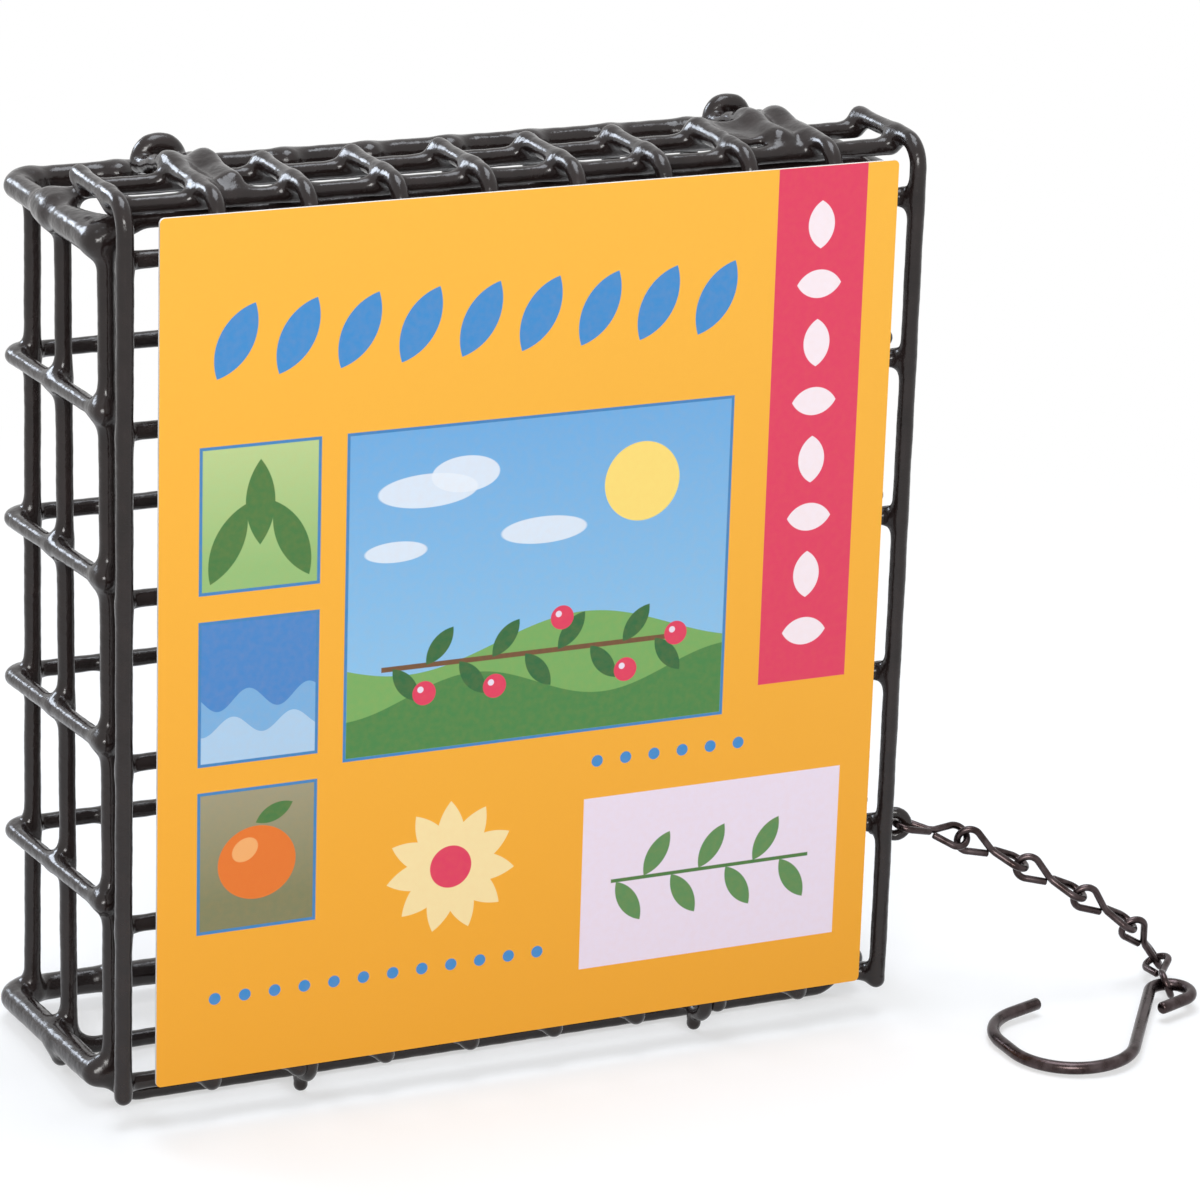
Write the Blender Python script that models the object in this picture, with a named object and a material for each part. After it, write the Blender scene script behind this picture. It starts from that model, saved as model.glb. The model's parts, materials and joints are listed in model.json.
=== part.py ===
"""Cage suet feeder: a wire basket with a drop-down wire door, a card, a jack chain and an S-hook.

The origin is under the middle of the front standing rail. X is to the right as the card faces the
viewer, Y runs to the back and Z is up. All sizes are in metres.
"""

import math

import bpy
from mathutils import Matrix, Vector

# Wires, coating included
WIRE_R = 0.0013
ROD_R = 0.0021
HINGE_WIRE_R = 0.0012
LINK_R = 0.000575
ANCHOR_R = 0.0009
HOOK_R = 0.001
BEVEL_STEPS = 2
SIDES = 4 + 2 * BEVEL_STEPS
FACET_TILT = math.pi / SIDES
FLAT = math.cos(FACET_TILT)
ARC_STEP = math.radians(16)

# Clearances between pieces that touch on the real cage
SEAT_GAP = 0.0003
SEAT = 2 * WIRE_R * FLAT + SEAT_GAP
ROD_SEAT = (WIRE_R + ROD_R) * FLAT + SEAT_GAP

# Hinge: two wires on the hoops' lowest rails end in eyes round the door's lowest rail
HOOP_LOW_Z = WIRE_R * FLAT
HINGE_WIRE_Z = 2 * HOOP_LOW_Z + SEAT_GAP + HINGE_WIRE_R * FLAT
HINGE_PLAY = 0.00035
HINGE_EYE_R = WIRE_R + HINGE_WIRE_R + HINGE_PLAY
HINGE_EYE_DIP = 0.00036
HINGE_Z = HINGE_WIRE_Z + HINGE_EYE_R - HINGE_EYE_DIP
HINGE_X = 0.0325
HINGE_EYE_END = math.radians(-300)
HINGE_WIRE_END_Y = 0.021

# The grid that the door and the basket share
COLUMNS = 10
COLUMN_PITCH = 0.01415
HALF_WIDTH = COLUMN_PITCH * (COLUMNS - 1) / 2
ROW_PITCH = 0.0254
FIRST_ROW_Z = HINGE_Z
DOOR_ROWS = 6
BASKET_ROWS = 4
TOP_ROW_Z = FIRST_ROW_Z + ROW_PITCH * (DOOR_ROWS - 1)

# Basket
HOOP_INSET = 0.0018
HOOP_X = HALF_WIDTH - HOOP_INSET
HOOP_TOP_RISE = 0.0039
HOOP_TOP_Z = TOP_ROW_Z + HOOP_TOP_RISE
HOOP_BEND_R = 0.0045
FRONT_HOOP_Y = 0
MIDDLE_HOOP_Y = 0.0192
BACK_Y = 0.0358
BACK_LOW_Z = 0.0028
BACK_TOP_RISE = 0.0027
BACK_TOP_Z = TOP_ROW_Z + BACK_TOP_RISE
SIDE_FRONT_Y = -0.0024
WIRE_BEND_R = 0.003
ROD_BEND_R = 0.0035
BACK_INSET = 0.0004
BACK_SPAN = 2 * (HOOP_X + SEAT - WIRE_BEND_R - BACK_INSET)
BASE_ROD_Z = 0.004
TOP_ROD_RISE = 0.0015
TOP_ROD_Z = TOP_ROW_Z + TOP_ROD_RISE

# Door
DOOR_Y = -0.01
DOOR_RAIL_Y = DOOR_Y + SEAT
HINGE_Y = DOOR_RAIL_Y
DOOR_TIP_Z = 0.0042
FLAP_RISE = 0.0088
FLAP_Z = TOP_ROW_Z + FLAP_RISE
FLAP_RAIL_Z = FLAP_Z - SEAT
FLAP_BEND_R = 0.004
FLAP_END_Y = 0.0102
FLAP_FRONT_RAIL_Y = -0.0028
FLAP_REAR_RAIL_Y = 0.009
RAIL_HALF_LENGTH = HALF_WIDTH + WIRE_R

# Latches: a door wire runs on over the middle hoop, curls up into a thumb tab and comes back
LATCH_COLUMNS = (1, COLUMNS - 2)
LATCH_SPANS = (0.0064, -0.0052)
LATCH_SIDES = ("left", "right")
LATCH_DIP_Y = 0.016
LATCH_TAB_Y = 0.0225
LATCH_DROP = 0.0023
LATCH_LOW_Z = FLAP_Z - LATCH_DROP
LATCH_TAB_RISE = 0.0018
LATCH_TAB_Z = LATCH_LOW_Z + LATCH_TAB_RISE
LATCH_RETURN_Y = -0.0021
LATCH_BEND_R = 0.0013
TAB_FILL_GAP = 0.0002
TAB_FILL_THICKNESS = 0.0016
TAB_FILL_SIDES = 20

# Card
CARD_WIDTH = 0.11845
CARD_HEIGHT = 0.1334
CARD_LOW_Z = 0.0069
CARD_THICKNESS = 0.0005
CARD_CORNER_R = 0.0008
CARD_GAP = 0.0004
CARD_Y = DOOR_Y - WIRE_R * FLAT - CARD_GAP - CARD_THICKNESS / 2

# Chain: each link is one wire bent into two loops
LINK_HALF = 0.0062
LOOP_R = 0.00195
LOOP_TURN = math.radians(115)
LINK_END_X = 0.0013
LINK_END_Y = 0.00085
WAIST_X = 0.0005
WAIST_Y = 0.00026
LINK_GAP = 0.0003
ANCHOR_Z = 0.0289
ANCHOR_LOOP_R = 0.00245
ANCHOR_HEADING = -23
LINK_HEADINGS = (-13.5, -18.9, -23.1, -8.6, 18.5, -110.7)
LINK_SLOPES = (-14.7, -25.6, -27.5, -33.4, -47.6, -1.5)
LINK_ROLLS = (None, 20, 20, 20, 10, 10)
LINK_TWISTS = (40, 90, 90, 90, 90, 90)
ANCHOR_TWIST = 90
LINKS_TURNING_IN_OWN_LOOP = (2, 4)
UP = Vector((0, 0, 1))
# The direction that a link's first loop faces before it is rolled
LOOP_FACING = Vector((0.41, 0.857, -0.312))

# Hook, flat in its own plane apart from a small tilt
HOOK_EYE_R = 0.0033
HOOK_EYE_OFFSET = 0.0015
HOOK_BEND_R = 0.0107
HOOK_BEND_X = -0.0246
HOOK_BEND_Y = -0.0089
HOOK_MOUTH_X = 0.0022
HOOK_MOUTH_Y = 0.0141
HOOK_CORNER_Y = 0.011
HOOK_CORNER_R = 0.0075
HOOK_TAIL = 0.0058
HOOK_TAIL_HEADING = math.radians(-163.4)
HOOK_TILT = math.radians(2.2)
HOOK_TILT_AXIS = Vector((0.436, -0.9, 0))


def clear_scene():
    for item in list(bpy.data.objects):
        bpy.data.objects.remove(item, do_unlink=True)


def make_material(name, colour, roughness, metallic):
    material = bpy.data.materials.new(name)
    material.use_nodes = True
    shader = material.node_tree.nodes["Principled BSDF"]
    shader.inputs["Base Color"].default_value = (*colour, 1)
    shader.inputs["Roughness"].default_value = roughness
    shader.inputs["Metallic"].default_value = metallic
    material.diffuse_color = (*colour, 1)
    return material


def make_collection(name):
    collection = bpy.data.collections.new(name)
    bpy.context.scene.collection.children.link(collection)
    return collection


def arc(centre, radius, start, end):
    """Points of an arc in a plane, from the start angle to the end angle."""
    steps = max(2, math.ceil(abs(end - start) / ARC_STEP))
    angles = [start + (end - start) * i / steps for i in range(steps + 1)]
    return [(centre[0] + radius * math.cos(a), centre[1] + radius * math.sin(a)) for a in angles]


def rounded(points, radius, closed=False):
    """The same route with every corner replaced by an arc of the given radius."""
    points = [Vector(p) for p in points]
    route = []
    for i, corner in enumerate(points):
        if not closed and i in (0, len(points) - 1):
            route.append(corner)
            continue
        back = (points[i - 1] - corner).normalized()
        ahead = (points[(i + 1) % len(points)] - corner).normalized()
        turn = math.pi - back.angle(ahead)
        reach = radius * math.tan(turn / 2)
        first = corner + back * reach
        inward = (ahead - back * back.dot(ahead)).normalized()
        centre = first + inward * radius
        steps = max(2, math.ceil(turn / ARC_STEP))
        for step in range(steps + 1):
            angle = turn * step / steps
            route.append(centre - inward * radius * math.cos(angle) - back * radius * math.sin(angle))
    return route


def place(obj, collection, material, parent=None):
    collection.objects.link(obj)
    obj.data.materials.append(material)
    if parent is not None:
        obj.parent = parent
        obj.location = obj.location - parent.location


def wire(name, route, radius, collection, material, parent=None, closed=False, frame=None):
    """A coated wire along a route. Its own origin is the route's start unless a frame is given."""
    data = bpy.data.curves.new(name, "CURVE")
    data.dimensions = "3D"
    data.bevel_depth = radius
    data.bevel_resolution = BEVEL_STEPS
    data.use_fill_caps = True
    spline = data.splines.new("POLY")
    spline.points.add(len(route) - 1)
    spline.use_cyclic_u = closed
    start = Vector(route[0]) if frame is None else Vector()
    for knot, point in zip(spline.points, route):
        knot.co = (*(Vector(point) - start), 1)
        knot.tilt = FACET_TILT
    obj = bpy.data.objects.new(name, data)
    if frame is None:
        obj.location = start
    else:
        obj.matrix_world = frame
    place(obj, collection, material, parent)
    return obj


def column_x(column):
    return (column - (COLUMNS - 1) / 2) * COLUMN_PITCH


def row_z(row):
    return FIRST_ROW_Z + row * ROW_PITCH


def side_wire(half_width, back_y, z):
    """Corner points of a basket wire: along one side, across the back and along the other side."""
    return [(-half_width, SIDE_FRONT_Y, z), (-half_width, back_y, z),
            (half_width, back_y, z), (half_width, SIDE_FRONT_Y, z)]


def build_basket(collection, vinyl):
    back_y = BACK_Y + SEAT
    for row in range(1, BASKET_ROWS + 1):
        route = rounded(side_wire(HOOP_X + SEAT, back_y, row_z(row)), WIRE_BEND_R)
        wire(f"basket_wire_{row}", route, WIRE_R, collection, vinyl)
    for name, z in (("base_rod", BASE_ROD_Z), ("top_rod", TOP_ROD_Z)):
        route = rounded(side_wire(HOOP_X + ROD_SEAT, BACK_Y + ROD_SEAT, z), ROD_BEND_R)
        wire(name, route, ROD_R, collection, vinyl)
    for column in range(COLUMNS):
        x = BACK_SPAN * (column / (COLUMNS - 1) - 1 / 2)
        route = [(x, BACK_Y, BACK_LOW_Z), (x, BACK_Y, BACK_TOP_Z)]
        wire(f"back_upright_{column + 1:02d}", route, WIRE_R, collection, vinyl)
    for name, y in (("front_hoop", FRONT_HOOP_Y), ("middle_hoop", MIDDLE_HOOP_Y)):
        corners = [(-HOOP_X, y, HOOP_LOW_Z), (HOOP_X, y, HOOP_LOW_Z),
                   (HOOP_X, y, HOOP_TOP_Z), (-HOOP_X, y, HOOP_TOP_Z)]
        wire(name, rounded(corners, HOOP_BEND_R, closed=True), WIRE_R, collection, vinyl, closed=True)
    for name, x in (("hinge_wire_left", -HINGE_X), ("hinge_wire_right", HINGE_X)):
        wire(name, hinge_route(x), HINGE_WIRE_R, collection, vinyl)


def hinge_route(x):
    """From the back end forward along the standing rails, then round the hinge axis as an eye."""
    drop = HINGE_WIRE_Z - HINGE_Z
    eye_start = math.atan2(drop, math.sqrt(HINGE_EYE_R ** 2 - drop ** 2))
    eye = arc((HINGE_Y, HINGE_Z), HINGE_EYE_R, eye_start, HINGE_EYE_END)
    return [(x, HINGE_WIRE_END_Y, HINGE_WIRE_Z)] + [(x, y, z) for y, z in eye]


def door_wire_route(x):
    """Up the front and back over the top as the flap."""
    corners = [(x, DOOR_Y, DOOR_TIP_Z), (x, DOOR_Y, FLAP_Z), (x, FLAP_END_Y, FLAP_Z)]
    return rounded(corners, FLAP_BEND_R)


def latch_route(x, span):
    """A door wire that ends in a thumb tab behind the middle hoop and a leg that comes back."""
    rise = rounded([(x, DOOR_Y, DOOR_TIP_Z), (x, DOOR_Y, FLAP_Z), (x, LATCH_DIP_Y, FLAP_Z)], FLAP_BEND_R)
    out = rounded([rise[-1], (x, LATCH_TAB_Y, LATCH_LOW_Z), (x, LATCH_TAB_Y, LATCH_TAB_Z)], LATCH_BEND_R)
    centre = (x + span / 2, LATCH_TAB_Z)
    start, end = (math.pi, 0) if span > 0 else (0, math.pi)
    tab = [(px, LATCH_TAB_Y, pz) for px, pz in arc(centre, abs(span) / 2, start, end)]
    far = x + span
    back = rounded([(far, LATCH_TAB_Y, LATCH_TAB_Z), (far, LATCH_TAB_Y, LATCH_LOW_Z),
                    (far, LATCH_DIP_Y, FLAP_Z)], LATCH_BEND_R)
    return rise[:-1] + out[:-1] + tab + back[1:] + [(far, LATCH_RETURN_Y, FLAP_Z)]


def build_tab_fill(name, x, radius, collection, vinyl, hinge):
    """The vinyl that fills the inside of a thumb tab."""
    bpy.ops.mesh.primitive_cylinder_add(vertices=TAB_FILL_SIDES, radius=radius, depth=TAB_FILL_THICKNESS)
    obj = bpy.context.object
    obj.name = name
    obj.data.name = name
    obj.location = (x, LATCH_TAB_Y, LATCH_TAB_Z)
    obj.rotation_euler = (math.pi / 2, 0, 0)
    for owner in list(obj.users_collection):
        owner.objects.unlink(obj)
    place(obj, collection, vinyl, hinge)


def build_card(collection, card, hinge):
    data = bpy.data.curves.new("label_card", "CURVE")
    data.dimensions = "2D"
    data.fill_mode = "BOTH"
    data.extrude = CARD_THICKNESS / 2
    x, y = CARD_WIDTH / 2, CARD_HEIGHT / 2
    outline = rounded([(-x, -y, 0), (x, -y, 0), (x, y, 0), (-x, y, 0)], CARD_CORNER_R, closed=True)
    spline = data.splines.new("POLY")
    spline.points.add(len(outline) - 1)
    spline.use_cyclic_u = True
    for knot, point in zip(spline.points, outline):
        knot.co = (*point, 1)
    obj = bpy.data.objects.new("label_card", data)
    obj.location = (0, CARD_Y, CARD_LOW_Z + y)
    obj.rotation_euler = (math.pi / 2, 0, 0)
    place(obj, collection, card, hinge)


def build_door(collection, vinyl, card):
    hinge = bpy.data.objects.new("door_hinge", None)
    hinge.location = (0, HINGE_Y, HINGE_Z)
    collection.objects.link(hinge)
    for column in range(COLUMNS):
        x = column_x(column)
        if column in LATCH_COLUMNS:
            side = LATCH_COLUMNS.index(column)
            span = LATCH_SPANS[side]
            route = latch_route(x, span)
            fill_r = abs(span) / 2 - WIRE_R - TAB_FILL_GAP
            build_tab_fill(f"latch_tab_{LATCH_SIDES[side]}", x + span / 2, fill_r, collection, vinyl, hinge)
        else:
            route = door_wire_route(x)
        wire(f"door_wire_{column + 1:02d}", route, WIRE_R, collection, vinyl, hinge)
    rails = [(f"door_rail_{row + 1}", DOOR_RAIL_Y, row_z(row)) for row in range(DOOR_ROWS)]
    rails.append(("flap_rail_front", FLAP_FRONT_RAIL_Y, FLAP_RAIL_Z))
    rails.append(("flap_rail_rear", FLAP_REAR_RAIL_Y, FLAP_RAIL_Z))
    for name, y, z in rails:
        route = [(-RAIL_HALF_LENGTH, y, z), (RAIL_HALF_LENGTH, y, z)]
        wire(name, route, WIRE_R, collection, vinyl, hinge)
    build_card(collection, card, hinge)


def heading(azimuth, slope):
    a, s = math.radians(azimuth), math.radians(slope)
    return Vector((math.cos(a) * math.cos(s), math.sin(a) * math.cos(s), math.sin(s)))


def link_points(first_loop_r, second_loop_r, twist):
    """Route of a link about its waist, along X. The second loop is turned about X by the twist."""
    first = [(-LINK_END_X, -LINK_END_Y, 0)]
    centre = (-(LINK_HALF - first_loop_r), 0)
    first += [(x, y, 0) for x, y in
              arc(centre, first_loop_r, math.pi + LOOP_TURN, math.pi - LOOP_TURN)]
    first.append((-WAIST_X, WAIST_Y, 0))
    centre = (LINK_HALF - second_loop_r, 0)
    second = [(WAIST_X, WAIST_Y)] + arc(centre, second_loop_r, LOOP_TURN, -LOOP_TURN)
    second.append((LINK_END_X, -LINK_END_Y))
    turn = Matrix.Rotation(math.radians(twist), 3, "X")
    return [Vector(p) for p in first] + [turn @ Vector((x, y, 0)) for x, y in second]


def link_axes(direction, across):
    """Rotation whose X is the link's direction and whose Y lies in its first loop."""
    across = (across - direction * across.dot(direction)).normalized()
    return Matrix((direction, across, direction.cross(across))).transposed()


def chain_layout():
    """Where each link's ends and first loop lie, from the anchor link down to the hook."""
    direction = heading(ANCHOR_HEADING, 0)
    upright = Vector((HOOP_X, FRONT_HOOP_Y, ANCHOR_Z))
    waist = upright + direction * (LINK_HALF - ANCHOR_LOOP_R)
    layout = [{"direction": direction, "axes": link_axes(direction, UP.cross(direction)),
               "waist": waist, "far": waist + direction * LINK_HALF,
               "radius": ANCHOR_R, "twist": ANCHOR_TWIST}]
    for i, (azimuth, slope) in enumerate(zip(LINK_HEADINGS, LINK_SLOPES)):
        before = layout[-1]
        direction = heading(azimuth, slope)
        # The last link is folded back sharply, so it sits straight in the loop before it
        folded = i == len(LINK_HEADINGS) - 1
        pull = before["direction"] if folded else (before["direction"] + direction).normalized()
        near = before["far"] - pull * (before["radius"] + LINK_R + LINK_GAP)
        across = UP.cross(direction)
        if LINK_ROLLS[i] is not None:
            roll = Matrix.Rotation(math.radians(LINK_ROLLS[i]), 3, direction)
            across = roll @ direction.cross(LOOP_FACING)
        layout.append({"direction": direction, "axes": link_axes(direction, across), "near": near,
                       "waist": near + direction * LINK_HALF, "far": near + direction * LINK_HALF * 2,
                       "radius": LINK_R, "twist": LINK_TWISTS[i]})
    return layout


def chain_pivots(layout):
    """Joint point and axis of each link: across its own loop, or across the loop that holds it."""
    pivots = []
    for i in range(1, len(layout)):
        link, before = layout[i], layout[i - 1]
        if i in LINKS_TURNING_IN_OWN_LOOP:
            pivots.append((before["far"], link["axes"] @ UP))
        else:
            second = Matrix.Rotation(math.radians(before["twist"]), 3, "X")
            pivots.append((link["near"], before["axes"] @ second @ UP))
    return pivots


def hook_points():
    """Route of the hook in its plane, with the chain's last link at the origin."""
    onward = math.radians(LINK_HEADINGS[-1])
    eye = (HOOK_EYE_OFFSET * math.cos(onward), HOOK_EYE_OFFSET * math.sin(onward))
    bend = (eye[0] + HOOK_BEND_X, eye[1] + HOOK_BEND_Y)
    apart = math.hypot(bend[0] - eye[0], bend[1] - eye[1])
    lean = math.asin((HOOK_BEND_R + HOOK_EYE_R) / apart)
    shank = math.atan2(eye[1] - bend[1], eye[0] - bend[0]) + lean
    side = bend[0] - HOOK_BEND_R
    mouth = [(bend[0] + HOOK_MOUTH_X, bend[1] + HOOK_MOUTH_Y, 0), (side, bend[1] + HOOK_CORNER_Y, 0),
             (side, bend[1], 0)]
    mouth = [(p.x, p.y) for p in rounded(mouth, HOOK_CORNER_R)]
    big = arc(bend, HOOK_BEND_R, math.pi, shank + math.pi * 3 / 2)
    small = arc(eye, HOOK_EYE_R, shank + math.pi / 2, HOOK_TAIL_HEADING + math.pi / 2)
    tail = (small[-1][0] + HOOK_TAIL * math.cos(HOOK_TAIL_HEADING),
            small[-1][1] + HOOK_TAIL * math.sin(HOOK_TAIL_HEADING))
    return [Vector((x, y, 0)) for x, y in mouth[:-1] + big + small + [tail]]


def hook_frame(layout):
    """The hook is tipped down a little, so that its big bend lies on the table."""
    tilt = Matrix.Rotation(HOOK_TILT, 4, HOOK_TILT_AXIS)
    return Matrix.Translation(layout[-1]["far"]) @ tilt


def build_chain(collection, vinyl, metal):
    layout = chain_layout()
    anchor = layout[0]
    frame = Matrix.Translation(anchor["waist"]) @ anchor["axes"].to_4x4()
    route = link_points(ANCHOR_LOOP_R, LOOP_R, anchor["twist"])
    wire("chain_anchor_link", route, ANCHOR_R, collection, vinyl, frame=frame)
    for i, ((pivot, _), link) in enumerate(zip(chain_pivots(layout), layout[1:]), start=1):
        frame = Matrix.Translation(pivot) @ link["axes"].to_4x4()
        offset = link["axes"].transposed() @ (link["waist"] - pivot)
        route = [offset + p for p in link_points(LOOP_R, LOOP_R, link["twist"])]
        wire(f"chain_link_{i}", route, LINK_R, collection, metal, frame=frame)
    wire("s_hook", hook_points(), HOOK_R, collection, metal, frame=hook_frame(layout))


def main():
    clear_scene()
    collection = make_collection("suet_feeder")
    vinyl = make_material("black_vinyl", (0.022, 0.019, 0.018), 0.28, 0)
    metal = make_material("dark_bronze", (0.115, 0.095, 0.085), 0.36, 1)
    card = make_material("printed_card", (0.93, 0.6, 0.2), 0.45, 0)
    build_basket(collection, vinyl)
    build_door(collection, vinyl, card)
    build_chain(collection, vinyl, metal)


main()
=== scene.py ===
import json
import math

import bpy
import numpy as np
from mathutils import Matrix, Vector


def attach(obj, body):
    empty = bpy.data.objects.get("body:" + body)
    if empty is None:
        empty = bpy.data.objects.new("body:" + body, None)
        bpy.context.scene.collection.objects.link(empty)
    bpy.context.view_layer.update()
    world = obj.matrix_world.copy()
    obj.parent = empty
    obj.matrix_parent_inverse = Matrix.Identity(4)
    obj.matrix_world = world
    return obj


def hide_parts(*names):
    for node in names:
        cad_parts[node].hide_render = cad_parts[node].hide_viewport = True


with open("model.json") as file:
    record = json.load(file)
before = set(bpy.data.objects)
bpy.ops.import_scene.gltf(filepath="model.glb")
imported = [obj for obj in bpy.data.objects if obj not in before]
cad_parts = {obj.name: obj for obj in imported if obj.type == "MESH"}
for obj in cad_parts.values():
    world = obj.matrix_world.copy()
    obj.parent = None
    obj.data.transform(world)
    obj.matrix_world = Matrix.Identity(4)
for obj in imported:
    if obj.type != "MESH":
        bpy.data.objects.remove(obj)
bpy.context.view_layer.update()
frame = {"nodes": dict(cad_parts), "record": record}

MM_PER_M = 1000

# Sizes repeated from the part's source, in metres
WIRE_R = 0.0013
ROD_R = 0.0021
HINGE_WIRE_R = 0.0012
LINK_R = 0.000575
ANCHOR_R = 0.0009
HOOK_R = 0.001
FLAT = math.cos(math.pi / 8)
SEAT_GAP = 0.0003
SEAT = 2 * WIRE_R * FLAT + SEAT_GAP
HOOP_LOW_Z = WIRE_R * FLAT
HINGE_WIRE_Z = 2 * HOOP_LOW_Z + SEAT_GAP + HINGE_WIRE_R * FLAT
HINGE_PLAY = 0.00035
HINGE_EYE_R = WIRE_R + HINGE_WIRE_R + HINGE_PLAY
HINGE_EYE_DIP = 0.00036
HINGE_Z = HINGE_WIRE_Z + HINGE_EYE_R - HINGE_EYE_DIP
HINGE_EYE_END = math.radians(-300)
HINGE_WIRE_END_Y = 0.021
COLUMNS = 10
COLUMN_PITCH = 0.01415
HALF_WIDTH = COLUMN_PITCH * (COLUMNS - 1) / 2
ROW_PITCH = 0.0254
DOOR_ROWS = 6
TOP_ROW_Z = HINGE_Z + ROW_PITCH * (DOOR_ROWS - 1)
HOOP_INSET = 0.0018
HOOP_X = HALF_WIDTH - HOOP_INSET
HOOP_TOP_RISE = 0.0039
HOOP_TOP_Z = TOP_ROW_Z + HOOP_TOP_RISE
HOOP_BEND_R = 0.0045
FRONT_HOOP_Y = 0
MIDDLE_HOOP_Y = 0.0192
BACK_Y = 0.0358
BACK_LOW_Z = 0.0028
BACK_TOP_RISE = 0.0027
BACK_TOP_Z = TOP_ROW_Z + BACK_TOP_RISE
SIDE_FRONT_Y = -0.0024
WIRE_BEND_R = 0.003
ROD_BEND_R = 0.0035
DOOR_Y = -0.01
DOOR_RAIL_Y = DOOR_Y + SEAT
DOOR_TIP_Z = 0.0042
FLAP_RISE = 0.0088
FLAP_Z = TOP_ROW_Z + FLAP_RISE
FLAP_BEND_R = 0.004
FLAP_END_Y = 0.0102
FLAP_FRONT_RAIL_Y = -0.0028
FLAP_REAR_RAIL_Y = 0.009
LATCH_COLUMNS = (1, COLUMNS - 2)
LINK_HALF = 0.0062
LOOP_R = 0.00195
LOOP_TURN = math.radians(115)
# Where a link crosses from one loop to the other, to either side of its middle
WAIST = (0.0005, 0.00026)
LINK_GAP = 0.0003
ANCHOR_Z = 0.0289
ANCHOR_LOOP_R = 0.00245
# How the links lie, in degrees: level direction, slope, roll, and turn between their two loops.
# A link whose roll is None has its first loop level
ANCHOR_HEADING = -23
LINK_HEADINGS = (-13.5, -18.9, -23.1, -8.6, 18.5, -110.7)
LINK_SLOPES = (-14.7, -25.6, -27.5, -33.4, -47.6, -1.5)
LINK_ROLLS = (None, 20, 20, 20, 10, 10)
ANCHOR_TWIST = 90
LINK_TWISTS = (40, 90, 90, 90, 90, 90)
UP = Vector((0, 0, 1))
# The direction that a link's first loop faces before it is rolled
LOOP_FACING = Vector((0.41, 0.857, -0.312))
HOOK_EYE_R = 0.0033
HOOK_EYE_OFFSET = 0.0015
HOOK_TAIL = 0.0058
HOOK_TAIL_HEADING = math.radians(-163.4)
HOOK_TILT = math.radians(2.2)
HOOK_TILT_AXIS = Vector((0.436, -0.9, 0))

# How finely bends are divided: coated wires, then the bare chain and hook
ARC_STEP = math.radians(8)
FINE_ARC_STEP = math.radians(3)

# Where the wires lie as photographed, bent and welded a little off the plan, in metres.
# Half width and lift of each basket wire at the back, and its half width at the front
SIDE_BACKS = ((0.0650, -0.0004), (0.0649, -0.0005), (0.0649, -0.0004), (0.0646, 0.0))
SIDE_FRONTS = (0.0637, 0.0636, 0.0637, 0.0640)
SIDE_RISE = 0.0015
# Half width, y and z of each rod at the back and at the front
BASE_ROD = ((0.0653, 0.0385, 0.0036), (0.0643, -0.0012, 0.0052))
TOP_ROD = ((0.0643, 0.0382, 0.1345), (0.0643, 0.0, 0.1345))
TOP_ROD_R = 0.00195
# How far the top left corner of the front and of the middle hoop leans out
HOOP_LEANS = (0.0011, 0.0009)
BACK_SHIFT = 0.0004
BACK_HALF_LOW = 0.06195
BACK_HALF_TOP = 0.0615
FLAP_RAIL_Z = FLAP_Z - 0.002
FLAP_BUMP = 0.00022
FLAP_BUMP_LENGTH = 0.0021
FLAP_BEND_REACH = 0.006
FLAP_START_Y = DOOR_Y + 0.0047
FLAP_STEP = 0.0008
INNER_TIP_Z = 0.0046
# How far over each latch's returning leg lies
LATCH_SPANS = (0.0055, -0.0049)
# Places (y, rise above the flap) that the latch legs pass on their way to the tab
LATCH_PROFILE = ((0.004, 0.0), (0.0098, 0.0009), (0.0150, -0.0006), (0.0200, -0.0020))
LATCH_TAB_Y = 0.0222
LATCH_TAB_DROP = 0.0021
LATCH_RETURN_Y = -0.0012
HINGE_XS = (-0.0336, 0.0332)
# Where a link's bare ends lie, from its middle
LINK_END = (0.0003, 0.0007)
HOOK_BEND_R = 0.0102
HOOK_BEND = (-0.0239, -0.0094)
HOOK_MOUTH = (0.0025, 0.0145)
HOOK_CORNER_Y = 0.0112
HOOK_CORNER_R = 0.0092

# Vinyl that ran together: webs, films, drips and blobs, in metres
CORNER_WEB_APEX = (-0.0600, 0.0002, 0.1366)
CORNER_WEB_END_Y = 0.0125
CORNER_WEB_R = 0.0012
# Each of these is a short bar as (start, end, radius). A hinge drip leaves out x, which is its wire's
CROSSING_BLOB = ((-0.0643, 0.0178, 0.1348), (-0.0640, 0.0206, 0.1350), 0.0023)
BASE_DRIP = ((-0.0646, 0.0157, 0.0032), (-0.0646, 0.0153, 0.0016), 0.0011)
HINGE_DRIPS = (((-0.0068, 0.0034), (-0.0063, 0.0024), 0.0012),
               ((-0.0064, 0.0026), (-0.0062, 0.0012), 0.0011))
FILL_R = 0.00055
TAB_FILL_R = 0.00085
FILL_STEP = 0.0004
FILL_BLEND = 0.0022
LATCH_FILM_SPAN = (-0.0008, 0.0112)
LATCH_FILM_SAG = 0.0001
SIDE_FILM_SPAN = (0.0005, 0.0082)
SIDE_FILM_SAG = 0.0005

# The vinyl coat is one skin over all wires of a body, meshed on a grid of this step
GRID_STEP = 0.0004
CORNERS = [(i, j, k) for i in (0, 1) for j in (0, 1) for k in (0, 1)]
# Distances beyond this count as far off
REACH = 0.0035
# How far apart two wires still swell towards each other
BLEND = 0.0029
# Offset of the probes that find the coat's outward direction, and how often vertices move onto it
PROBE = 0.00005
SETTLE_ROUNDS = 2
SHORTEST_PIECE = 1e-6
# Share of the radius by which an open wire is drawn in, to leave room for its rounded ends
END_TRIM = 0.8
# Heights of the coat's long and short waves
SLOW_LUMP = 0.000035
FAST_LUMP = 0.000018

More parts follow.
